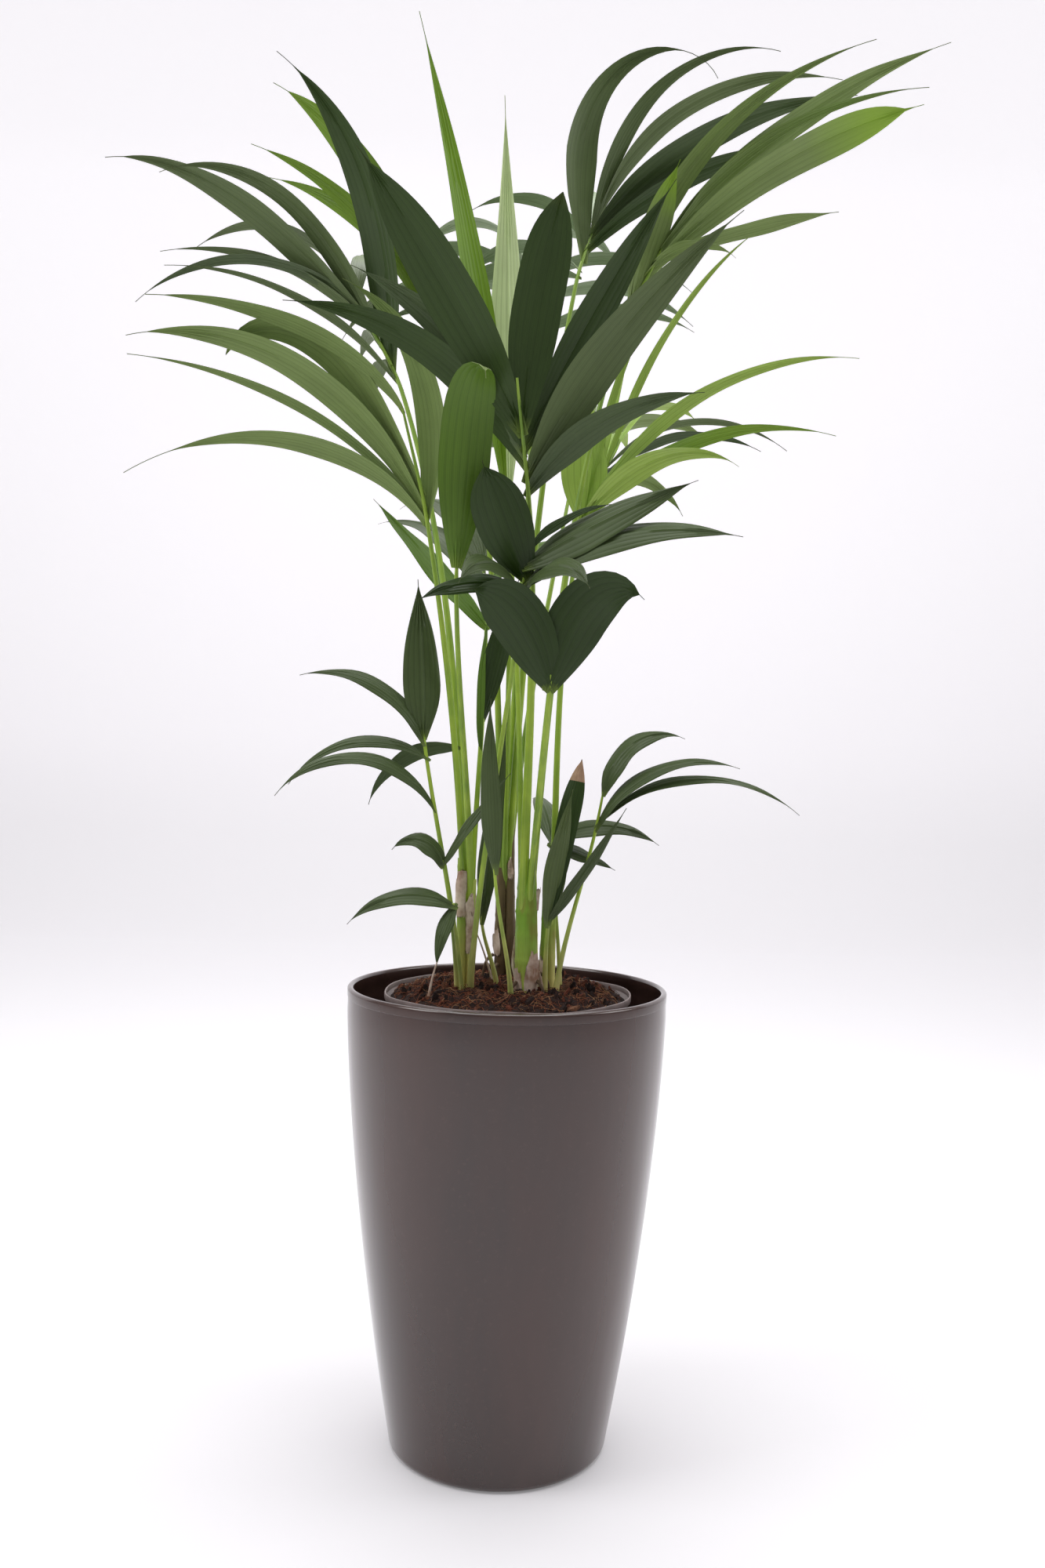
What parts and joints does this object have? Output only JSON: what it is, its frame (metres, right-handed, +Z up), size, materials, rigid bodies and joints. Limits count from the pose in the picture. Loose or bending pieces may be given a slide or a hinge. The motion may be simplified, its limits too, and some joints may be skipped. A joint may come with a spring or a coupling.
{
  "type": "potted kentia palm",
  "caption": "Clump of young kentia palms with arching feather-shaped fronds, in a nursery pot stood inside a tall tapered planter.",
  "frame": {"origin": "centre of the planter's flat underside", "axes": "+Z up, +X to the viewer's right, -Y to the viewer"},
  "size_m": [1.0701, 0.814, 1.8123],
  "materials": {
    "planter": "smooth glossy warm dark grey plastic",
    "nursery_plastic": "thin grey moulded nursery-pot plastic",
    "soil": "moist reddish-brown coir fibre and chips",
    "stems": "yellow-green and cream leaf sheaths, papery tan where torn",
    "fronds": "dark satin green pleated leaf blades on yellow-green petioles"
  },
  "bodies": {
    "root": {"planter": "planter", "riser_pot": "nursery_plastic", "nursery_pot": "nursery_plastic", "soil": "soil", "stem_left": "stems", "stem_centre": "stems", "stem_right": "stems", "stem_back": "stems", "frond_front_tall": "fronds", "frond_left_pale": "fronds", "frond_left_folded": "fronds", "frond_left_high": "fronds", "frond_left_top": "fronds", "frond_centre_low": "fronds", "frond_front_pair": "fronds", "frond_right_new": "fronds", "frond_right_high": "fronds", "frond_right_far": "fronds", "spear_left": "fronds", "spear_centre": "fronds", "frond_back_high": "fronds", "frond_back_left": "fronds", "frond_back_right": "fronds", "frond_small_left": "fronds", "frond_small_left_low": "fronds", "frond_small_left_foot": "fronds", "frond_small_middle": "fronds", "frond_small_middle_back": "fronds", "frond_small_right_base": "fronds", "frond_small_right": "fronds", "frond_small_right_low": "fronds"}
  },
  "joints": []
}
